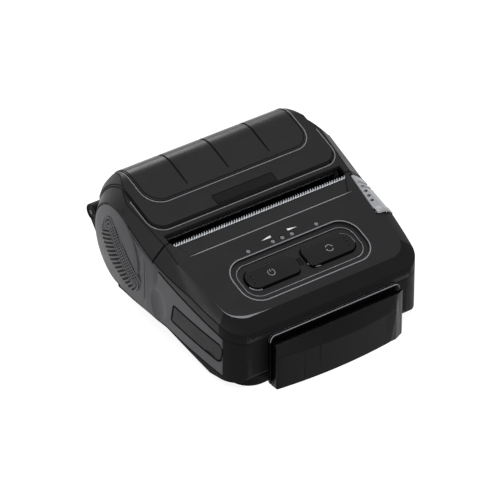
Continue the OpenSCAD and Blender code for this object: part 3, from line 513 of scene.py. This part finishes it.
def rounded(bm, edges, width, steps, clamp):
    """Bevels edges of a bmesh in metres by a width in mm, and gives the new faces."""
    return bmesh.ops.bevel(bm, geom=edges, offset=width * MM, segments=steps, profile=0.5,
                           affect="EDGES", material=-1, clamp_overlap=clamp)["faces"]


def soften(obj, width, test, rim=None):
    """Rounds the edges whose middle passes the test; with a rim finish, only outer ones."""
    bm = bmesh.new()
    bm.from_mesh(obj.data)
    edges = []
    for e in bm.edges:
        if len(e.link_faces) != 2 or e.calc_face_angle() < math.radians(20):
            continue
        if (e.is_convex or not rim) and test((e.verts[0].co + e.verts[1].co) / 2 / MM):
            edges.append(e)
    faces = rounded(bm, edges, width, 3, True)
    if rim:
        slot = slot_of(obj, rim)
        for f in faces:
            f.material_index = slot
    written(bm, obj.data)


def repaint(obj, finish, test):
    """Gives a finish to the faces whose middle in mm, direction and area pass the test."""
    slot = slot_of(obj, finish)
    for f in obj.data.polygons:
        if test(f.center / MM, f.normal, f.area / MM / MM):
            f.material_index = slot


def draped(name, bm, obj, body, finish, keep, height=0.1):
    """A thin band laid on a piece from above; keep says which of its points stay."""
    ground = bmesh.new()
    ground.from_mesh(obj.data)
    tree = BVHTree.FromBMesh(ground)
    ground.free()
    above, gap, down = 90, 0.02, Vector((0, 0, -1))
    lost, spots = [], []
    for v in bm.verts:
        hit, normal = tree.ray_cast(Vector((v.co.x, v.co.y, above)) * MM, down)[:2]
        if hit is None or normal.z < 0.2 or not keep(hit / MM):
            lost.append(v)
        else:
            v.co = hit / MM + normal * gap
            spots.append((v.co.copy(), v.co + normal * height))
    bmesh.ops.delete(bm, geom=lost, context="VERTS")
    bmesh.ops.recalc_face_normals(bm, faces=bm.faces)
    if sum(f.normal.z for f in bm.faces) < 0:
        bmesh.ops.reverse_faces(bm, faces=bm.faces)
    for v in doubled(bm):
        v.co = min(spots, key=lambda s: (s[0] - v.co).length_squared)[1]
    bmesh.ops.recalc_face_normals(bm, faces=bm.faces)
    bmesh.ops.scale(bm, vec=(MM, MM, MM), verts=bm.verts)
    add_piece(name, bm, finish, body)


def edged(obj, width, steps=2, sharp=30, rim=None):
    """Fine rounding of the sharp edges, but not where it would throw a spike."""
    base = bmesh.new()
    base.from_mesh(obj.data)
    base.edges.index_update()
    ground = BVHTree.FromBMesh(base)
    spots = KDTree(len(base.verts))
    for v in base.verts:
        spots.insert(v.co, v.index)
    spots.balance()
    base.verts.ensure_lookup_table()
    skip = set()
    tries = 6
    for turn in range(tries):
        bm = base.copy()
        edges = [e for e in bm.edges if e.index not in skip and len(e.link_faces) == 2
                 and e.calc_face_angle() > math.radians(sharp)]
        faces = rounded(bm, edges, width, steps, False)
        # A spike is a new point further off the old surface than any round edge puts it.
        wild = [v.co.copy() for v in bm.verts
                if ground.find_nearest(v.co)[3] > (0.45 * width + 0.01) * MM]
        if not wild or turn == tries - 1:
            break
        # The next try leaves the edges near a spike sharp.
        before = len(skip)
        for co in wild:
            near = ground.find_nearest(co)
            for _, k, _ in spots.find_range(near[0], max(0.8 * MM, 1.3 * near[3])):
                skip.update(e.index for e in base.verts[k].link_edges)
        if len(skip) == before:
            break
        bm.free()
    if rim:
        slot = slot_of(obj, rim)
        for f in faces:
            f.material_index = slot
    written(bm, obj.data)
    base.free()
    obj.modifiers.new("normals", "WEIGHTED_NORMAL")


# Case

def panel_outline():
    """The key panel's flat: narrower at its front, where its corners are round."""
    front_y, front_half, corner = -43.4, 40.9, 7.5
    rear_y, rear_half = 20, 47.5
    bm = outline((1, 1), 0, 0)
    for v in bm.verts:
        y, half = (front_y, front_half) if v.co.y < 0 else (rear_y, rear_half)
        v.co = (math.copysign(half, v.co.x), y, 0)
    front = [v for v in bm.verts if v.co.y < 0]
    bmesh.ops.bevel(bm, geom=front, offset=corner, segments=12, profile=0.5,
                    affect="VERTICES", material=-1)
    return bm


def panel_form():
    """What the key panel keeps: flat inside its front crease, falling away outside it."""
    spread, fall = 2.0, 18
    bm = panel_outline()
    foot = doubled(bm)
    bmesh.ops.scale(bm, vec=(spread, spread, 1), verts=foot)
    bmesh.ops.translate(bm, vec=(0, 0, -fall), verts=foot)
    bmesh.ops.recalc_face_normals(bm, faces=bm.faces)
    bmesh.ops.transform(bm, matrix=on_panel(0, 0, 0.01), verts=bm.verts)
    return bm


def corner_glint():
    """Painted highlight: a crescent on the crease at the panel's front left corner, thin at its
    ends.
    """
    middle, reach, width = Vector((-36, -42, 0)), 13, 1.15
    side_x, side_fade, front_fade = -38, 5, 6.5
    bm = panel_outline()
    cut_up(bm, 8, 40)
    outer = [v.co.copy() for v in bm.verts]
    rim = set(bm.verts)
    keep_band(bm, width)
    for v in bm.verts:
        if v not in rim:
            edge = min(outer, key=lambda c: (c - v.co).length_squared)
            away = (v.co - middle).length / (side_fade if v.co.x < side_x else front_fade)
            v.co = edge.lerp(v.co, 0.95 * math.exp(-away ** 2) + 0.03)
    far = [v for v in bm.verts if (v.co - middle).length > reach]
    bmesh.ops.delete(bm, geom=far, context="VERTS")
    return raised(bm, 0.09, on_panel(0, 0, -0.01))


def top_case():
    """Key panel: a crease round its front, a dip down to the tear bar, the keys' recess."""
    obj = moulding("top_case")
    dip_y, dip_fall = -7.9, math.radians(-3)
    dip = (on_panel(0, 0) @ Matrix.Translation((0, dip_y, -0.3))
           @ Matrix.Rotation(dip_fall, 4, "X"))
    carve(obj, [
        slab([(-37, 0), (37, 0), (41.8, 9), (-41.8, 9)], 3, dip),
        plate((54.2, 15.6), 5.6, 2, on_panel(0, RECESS_Y, RECESS_FLOOR)),
    ])
    # Two narrow grooves in the recess's floor, between the keys.
    carve(obj, [plate((0.3, 3.2), 0, 1, on_panel(x, KEY_Y, RECESS_FLOOR - 0.35))
                for x in (-0.6, 0.6)])
    carve(obj, [panel_form()], "INTERSECT")

    def in_recess(p, n, area):
        return (abs(p.x) < 30.2 and -37.5 < p.y < -17 and -2.2 < panel_height(p) < -0.1
                and n.z < 0.7)

    def below_crease(p, n, area):
        return panel_height(p) < -0.1 and p.y < -37 and n.y < -0.05 and p.z > 24

    # Painted shade: black on the walls of the keys' recess, and the lower half's darker plastic on
    # the front slope below the crease, where less light falls.
    repaint(obj, "black_and_painted_shade", in_recess)
    repaint(obj, "shade_darkened_plastic", below_crease)
    # The roundings of the sharp edges are painted black, as shade in the joints and gaps.
    edged(obj, 0.32, rim="black_and_painted_shade")
    # Painted highlights: light lines round the recess and its ledge, along the dip, and on the
    # crease at the front left corner.
    printed("recess_rim", "case", "painted_highlight",
            [raised(ring((60.3, 21.7), 8.4, 0.5), 0.14, on_panel(0, RECESS_Y, -0.02))])
    printed("recess_step", "case", "painted_highlight",
            [raised(ring((54.9, 16.3), 6, 0.3), 0.06, on_panel(0, RECESS_Y, LEDGE - 0.01))])
    dip_line = [(-39, 0), (-34, -0.3), (34, -0.3), (39, 0), (34, 0.2), (-34, 0.2)]
    printed("dip_rim", "case", "painted_highlight",
            [slab(dip_line, 0.1, on_panel(0, dip_y - 0.1, -0.01))])
    printed("panel_glint", "case", "painted_highlight", [corner_glint()])
    for name in ("recess_rim", "dip_rim", "panel_glint"):
        edged(bpy.data.objects[name], 0.05)


def cover():
    """Cover: a painted highlight round the pad and painted shade in its joint; at the step at the
    front of its field, a painted shadow and a painted highlight.
    """
    obj = moulding("cover")
    pad = moulding("cover_pad")
    pad_y, field_y = 42.3, 29.2
    grooves, half_groove = (-19.5, 0, 19.5), 0.4  # x of the pad's three grooves

    def on_top(p):
        return p.z > 40

    def on_front(p):
        return p.z > 40 and p.y < 24

    # Each band is given by its outer size, the radius of its corners and its width.
    place = Matrix.Translation((0, pad_y, 0))
    # Painted highlight round the pad, painted shade in the pad's joint, painted shadow at the foot
    # of the field's step, and a painted highlight beside it.
    draped("pad_rim", ring((78.1, 51.1), 8.4, 0.45, place, 40), obj, "cover", "painted_highlight",
           on_top)
    draped("pad_joint", ring((76.2, 49.2), 7.7, 0.7, place, 40), pad, "cover", "black_and_painted_shade",
           on_top, 0.03)
    place = Matrix.Translation((0, field_y, 0))
    draped("step_joint", ring((88.2, 45.4), 6.7, 0.7, place, 30), obj, "cover", "black_and_painted_shade",
           on_front, 0.03)
    draped("step_rim", ring((89.0, 46.2), 7.1, 0.4, place, 30), obj, "cover", "painted_highlight",
           on_front)
    # Roundings of the sharp edges painted black, as shade in the joints.
    edged(obj, 0.32, rim="black_and_painted_shade")

    # The grooves' floor follows the pad: up the slope, over the bend and down its rear.
    bend_y, bend_z, bend_r = 34.9, 45.52, 10.1
    floor = [at_slope(20.5, 1.52), at_slope(25, 1.1)]
    for turn in range(107, 35, -6):
        a = math.radians(turn)
        floor.append((bend_y + bend_r * math.cos(a), bend_z + bend_r * math.sin(a)))
    floor.append((floor[-1][0] + 5, floor[-1][1] - 6.8))
    above = [(60, 40), (60, 70), (20, 70)]
    carve(pad, [along_x(floor + above, x - half_groove, x + half_groove) for x in grooves])
    # The grooves' faces are painted black, as shade in them.
    repaint(pad, "black_and_painted_shade", lambda p, n, area: area < 60
            and min(abs(p.x - x) for x in grooves) < half_groove + 0.1)
    edged(pad, 0.12)
    # The badge's edge roundings are painted black, as shade in its joint.
    edged(moulding("badge_plate"), 0.12, rim="black_and_painted_shade")


def release_lever():
    """Lever, with a lip at its front that slides over the case and hides its travel gap."""
    obj = moulding("release_lever")
    slide = Vector((-0.0872, -0.948, -0.3062))  # the way to the lever's front end
    outward = Vector((0.62, -0.24, 0.75))
    inward = Vector((-0.996, 0.092, 0))
    taken, forward, proud, wall, corner = 3.3, 3.2, 0.25, 0.3, 2
    bm = bmesh.new()
    bm.from_mesh(obj.data)
    tip = max(v.co.dot(slide) for v in bm.verts if v.co.z > 35 * MM)
    bmesh.ops.bisect_plane(bm, geom=everything(bm), plane_co=slide * (tip - taken * MM),
                           plane_no=slide, clear_inner=True)
    bm.normal_update()
    # Only the outer skin of the lever's front end stays, and not its lowest part.
    inside = [f for f in bm.faces if f.normal.dot(outward) < 0.35
              or abs(f.normal.dot(slide)) > 0.7 or f.calc_center_median().z < 29 * MM]
    bmesh.ops.delete(bm, geom=inside, context="FACES")
    bmesh.ops.translate(bm, vec=slide * forward * MM + outward * proud * MM, verts=bm.verts)
    bmesh.ops.solidify(bm, geom=bm.faces[:], thickness=-wall * MM)
    # Planes round off the lip's front corner on the side of the keys.
    far = tip + (forward - corner) * MM
    side = max(v.co.dot(inward) for v in bm.verts) - corner * MM
    for turn in (0, 20, 40, 60, 78):
        a = math.radians(turn)
        cut = slide * math.cos(a) + inward * math.sin(a)
        spot = (slide * (far + corner * MM * math.cos(a))
                + inward * (side + corner * MM * math.sin(a)))
        out = bmesh.ops.bisect_plane(bm, geom=everything(bm), plane_co=spot, plane_no=cut,
                                     clear_outer=True)
        bmesh.ops.holes_fill(bm, edges=[e for e in out["geom_cut"]
                                        if isinstance(e, bmesh.types.BMEdge)])
    bmesh.ops.recalc_face_normals(bm, faces=bm.faces)
    add_piece("lever_lip", bm, "lever_plastic", body_of("release_lever"))
    edged(obj, 0.15)


def tear_bar():
    """Toothed edge that stands over the dip, its teeth drawn out to sharp points, with painted
    shade between and below them.
    """
    obj = moulding("tear_bar")
    tooth, tip_up, root_down = 1.0, 0.45, 0.5
    top = max(v.co.z for v in obj.data.vertices)
    for v in obj.data.vertices:
        if v.co.z > top - 0.1 * MM:
            v.co.z += tip_up * MM
        elif v.co.z > top - tooth * MM:
            v.co.z -= root_down * MM
    # Painted shade: the bar below its teeth's tips and its level faces are painted dark, so that
    # black shows between and below the teeth.
    repaint(obj, "dark_steel_and_shade",
            lambda p, n, area: p.z * MM < top - (tooth - 0.1) * MM or n.z > 0.9)


def lower_case():
    """Lower case, dished at both ends of the hinge barrel, and the mouldings that it holds."""
    obj = moulding("lower_case")
    barrel_end, hinge_y, hinge_z = 42.6, 55, 28.4
    dish_r, dish_depth = 2.7, 0.6
    ends = [Matrix.Translation((s * barrel_end, hinge_y, hinge_z))
            @ Matrix.Rotation(-s * math.pi / 2, 4, "Y") for s in (-1, 1)]
    carve(obj, [rod(dish_r, dish_depth, e) for e in ends])
    # Edge roundings painted black, as shade in the joints.
    edged(obj, 0.25, rim="black_and_painted_shade")
    for name in ("base_plate", "bay_liner", "battery_pack", "battery_latch"):
        edged(moulding(name), 0.25)
    # The cap's edge roundings are painted black, as shade in the gap round it.
    edged(moulding("port_cap"), 0.3, rim="black_and_painted_shade")


# Grip of a side panel

def wave(distance, pitch):
    """1 at every pitch along a distance, 0 halfway between."""
    return 0.5 + 0.5 * math.cos(2 * math.pi * distance / pitch)


def grip_relief(u, v, length):
    """Depth of the grip's grooves, 0 to 1, at u along its spine and v across it.

    Bars fan out behind and below the spine, and rows of dots run round its front and ends.
    Both are drawn coarse enough to show in the picture.
    """
    bar_pitch, row_pitch, dot_pitch = 1.6, 1.55, 1.05
    past = u - length if u > length else min(u, 0)
    d = math.hypot(past, v)
    if v < -0.8 and u < length + 0.4:
        return wave(u + (0.03 + 0.27 * u / length) * v, bar_pitch)
    walk = math.atan2(v, past) * d if past else u
    return wave(d, row_pitch) * (1 - 0.8 * wave(walk, dot_pitch) ** 2)


def grip_edge(u, v, length):
    """Distance to the grip's edge, positive inside."""
    foot, end = 6.3, 4.9  # half width at the spine's foot, and reach past its ends
    part = min(max(u / length, 0), 1)
    bulge = math.sin(math.pi * part)
    width = foot - 1.6 * part + bulge if v > 0 else foot + 3.0 * part + 2.0 * bulge
    if 0 <= u <= length:
        return width - abs(v)
    past = u if u < 0 else u - length
    return (1 - math.hypot(past / end, v / width)) * end


def grip(side, name):
    """Non-slip relief on the swelling of a side panel, its grooves down to the black base."""
    half_w, swell, swell_r = 49.0, 1.8, 81.2  # case's half width here, the swelling, its radius
    lean = math.atan(20 / 248.85)  # turn of the bowed side, 20 mm behind its widest place
    sunk, rise, rim_w, groove = 0.1, 0.42, 1.2, 0.24
    spine = Vector(SPINE_TOP) - Vector(SPINE_FOOT)
    length = spine.length
    along = spine.normalized()
    across = Vector((-along.y, along.x))
    long, wide, middle_u, middle_v = length + 10.4, 18.4, length / 2 + 0.4, -2.0
    bm = bmesh.new()
    bmesh.ops.create_grid(bm, x_segments=210, y_segments=110, size=0.5)
    drop = []
    for p in bm.verts:
        u, v = p.co.x * long + middle_u, p.co.y * wide + middle_v
        y, z = Vector(SPINE_FOOT) + along * u + across * v
        edge = grip_edge(u, v, length)
        if edge < -0.1:
            drop.append(p)
        y, z = y - GRIP_Y, z - GRIP_Z
        # The relief rises over a round rim, and its grooves stop short of it.
        rim = min(max(edge / rim_w, 0), 1)
        deep = grip_relief(u, v, length) * min(max((edge - 0.5) * 3, 0), 1)
        deep = min(max(deep * 2 - 0.7, 0), 1)
        h = (swell - (y * y + z * z) / (2 * swell_r) - sunk + rise * rim * (2 - rim)
             - groove * deep)
        p.co = (side * (half_w + h * math.cos(lean) - y * math.sin(lean)),
                GRIP_Y + y * math.cos(lean) + h * math.sin(lean), GRIP_Z + z)
    bmesh.ops.delete(bm, geom=drop, context="VERTS")
    bmesh.ops.scale(bm, vec=(MM, MM, MM), verts=bm.verts)
    bmesh.ops.recalc_face_normals(bm, faces=bm.faces)
    if sum(f.normal.x * f.calc_area() for f in bm.faces) * side < 0:
        bmesh.ops.reverse_faces(bm, faces=bm.faces)
    for f in bm.faces:
        p = f.calc_center_median() / MM
        flat = Vector((p.y, p.z)) - Vector(SPINE_FOOT)
        u, v = flat.dot(along), flat.dot(across)
        dark = grip_relief(u, v, length) > 0.36 and grip_edge(u, v, length) > 0.3
        f.material_index = int(dark)
    obj = add_piece(name, bm, "panel_plastic", "case")
    obj.data.materials.append(MATERIALS["black_and_painted_shade"])


def side_panels():
    """Side panels with painted shade in the joints round them, a soft hollow in the left one, and
    the grips.
    """
    def inside_joint(p, n, area):
        # Edges round the front of the swelling and ahead of it stay grey.
        return (p.y < 24 and abs(p.x) > 48
                and (math.hypot(p.y - GRIP_Y, p.z - GRIP_Z) < 17.8 or 4 < p.y < 9)
                and p.z < 36.2 + p.y * math.tan(TILT))

    for name in ("left_side_panel", "right_side_panel"):
        obj = moulding(name)
        if name == "left_side_panel":
            hollow = bmesh.new()
            bmesh.ops.create_icosphere(hollow, subdivisions=5, radius=1)
            bmesh.ops.scale(hollow, vec=(3, 7, 10), verts=hollow.verts)
            bmesh.ops.translate(hollow, vec=(-51.6, -3, 20), verts=hollow.verts)
            carve(obj, [hollow])
        # Edge roundings painted black, as shade in the joints; those that the test picks go back
        # to grey.
        edged(obj, 0.4, rim="black_and_painted_shade")
        repaint(obj, "panel_plastic", inside_joint)
    grip(-1, "left_grip")
    grip(1, "right_grip")


# Keys and printed marks

def keys():
    """Keys level with the panel, painted shade on their sides below their faces, their signs,
    glints and pips.
    """
    proud, line, ink = 0.4, 0.25, 0.03  # face of the solid key, width and height of a sign
    sink = Vector((0, -math.sin(TILT), math.cos(TILT))) * (proud - KEY_FACE) * MM
    for name in ("power_button", "feed_button"):
        obj = moulding(name)
        for v in obj.data.vertices:
            if panel_height(v.co / MM) > proud - 0.1:
                v.co -= sink
        # Painted shade on the keys' sides.
        repaint(obj, "black_and_painted_shade", lambda p, n, area: n.z < 0.6)
        soften(obj, 0.4, lambda p: panel_height(p) > KEY_FACE - 0.05)
        edged(obj, 0.12)
    printed("power_sign", "power_key", "dim_ink", [
        arc(1.45, line, 120, 300, ink, on_panel(-KEY_X, KEY_Y, KEY_FACE)),
        plate((line, 1.3), 0, ink, on_panel(-KEY_X, KEY_Y + 0.9, KEY_FACE)),
    ])
    feed = on_panel(KEY_X + 0.2, KEY_Y + 0.2, KEY_FACE)
    printed("feed_sign", "feed_key", "dim_ink", [
        arc(1.5, line, 20, 130, ink, feed), arc(1.5, line, 200, 130, ink, feed),
        slab([(1.0, 0.6), (1.9, 0.6), (1.4, 0.0)], ink, feed),
        slab([(-1.0, -0.6), (-1.9, -0.6), (-1.4, 0.0)], ink, feed),
    ])
    # Painted highlights: bright lines on the recess's floor, round each key's front left corner
    # and at the right end of the feed key.
    for name, side in (("power_glint", -1), ("feed_glint", 1)):
        bm = ring((23.9, 10.5), 4.7, 0.5, None, 8)
        gone = [v for v in bm.verts if not (v.co.x < -7 and v.co.y < -1.5)
                and not (side > 0 and v.co.x > 8.5 and v.co.y > -2)]
        bmesh.ops.delete(bm, geom=gone, context="VERTS")
        printed(name, "case", "painted_highlight",
                [raised(bm, 0.12, on_panel(side * KEY_X, KEY_Y, RECESS_FLOOR + 0.02))])
    for side, body in ((-1, "power_key"), (1, "feed_key")):
        printed(f"{body}_pips", body, "key_plastic", [
            rod(0.22, 0.35, on_panel(side * (KEY_X + 8.5), KEY_Y + 0.2 + d, 0.2), 12)
            for d in (-1.7, 0, 1.7)])


def status_marks():
    """Rising wedges beside the middle three lights."""
    c = math.cos(TILT)  # turns a place seen from above to one along the slope
    printed("level_wedges", "case", "ink", [
        slab([(s * 8.6, -13.3 / c), (s * 3.9, -12.5 / c), (s * 3.9, -13.5 / c)], 0.03,
             on_panel(0, 0))
        for s in (-1, 1)])


# Card reader

def reader_bow(x):
    """How far back the reader's face lies at x, from its foremost line."""
    return (x - READER_X) ** 2 / (2 * READER_BOW)


def card_reader():
    """Swipe block: a straight top edge over a bowed face, joined by a glossy band."""
    block = moulding("card_reader_block")
    band = along_x([(-51.1, 20.7), (-48, 20.7), (-48, 24), (-57, 24), (-57, 13.6),
                    (-53.8, 13.6)], -32, 36)
    cut_up(band, 60, 16)
    # The band's lower edge follows the bow and sinks a little towards the right.
    for v in band.verts:
        if v.co.z < 14 and v.co.y > -54:
            v.co.y += reader_bow(v.co.x)
            v.co.z -= (v.co.x - READER_X) * 0.045
    carve(block, [band])
    # Three short upright hairlines in the face.
    cuts = []
    for x in (-16.8, 2.2, 21.0):
        y = -53.7 + reader_bow(x)
        cuts.append(along_x([(y - 1, 1.5), (y + 0.05, 1.5), (y + 0.05, 11.5), (y - 1, 11.5)],
                            x - 0.1, x + 0.1))
    carve(block, cuts)
    # Painted highlights on the top edges of the block and of its back plate.
    soften(block, 0.35, lambda p: p.z > 20 and p.y < -50, "painted_highlight")
    edged(block, 0.35, steps=3, sharp=12)
    back = moulding("card_back_plate")
    soften(back, 0.3, lambda p: p.z > 18, "painted_highlight")
    edged(back, 0.3, steps=3)
    edged(moulding("card_slot_floor"), 0.2)


def solids():
    """Gives every solid of the frame its finish."""
    for name, finish in FINISH.items():
        mesh = frame["nodes"][name].data
        mesh.materials.clear()
        mesh.materials.append(MATERIALS[finish])


solids()
top_case()
cover()
tear_bar()
release_lever()
lower_case()
side_panels()
keys()
status_marks()
card_reader()
studio()
camera()
bpy.context.scene.view_settings.view_transform = "Standard"
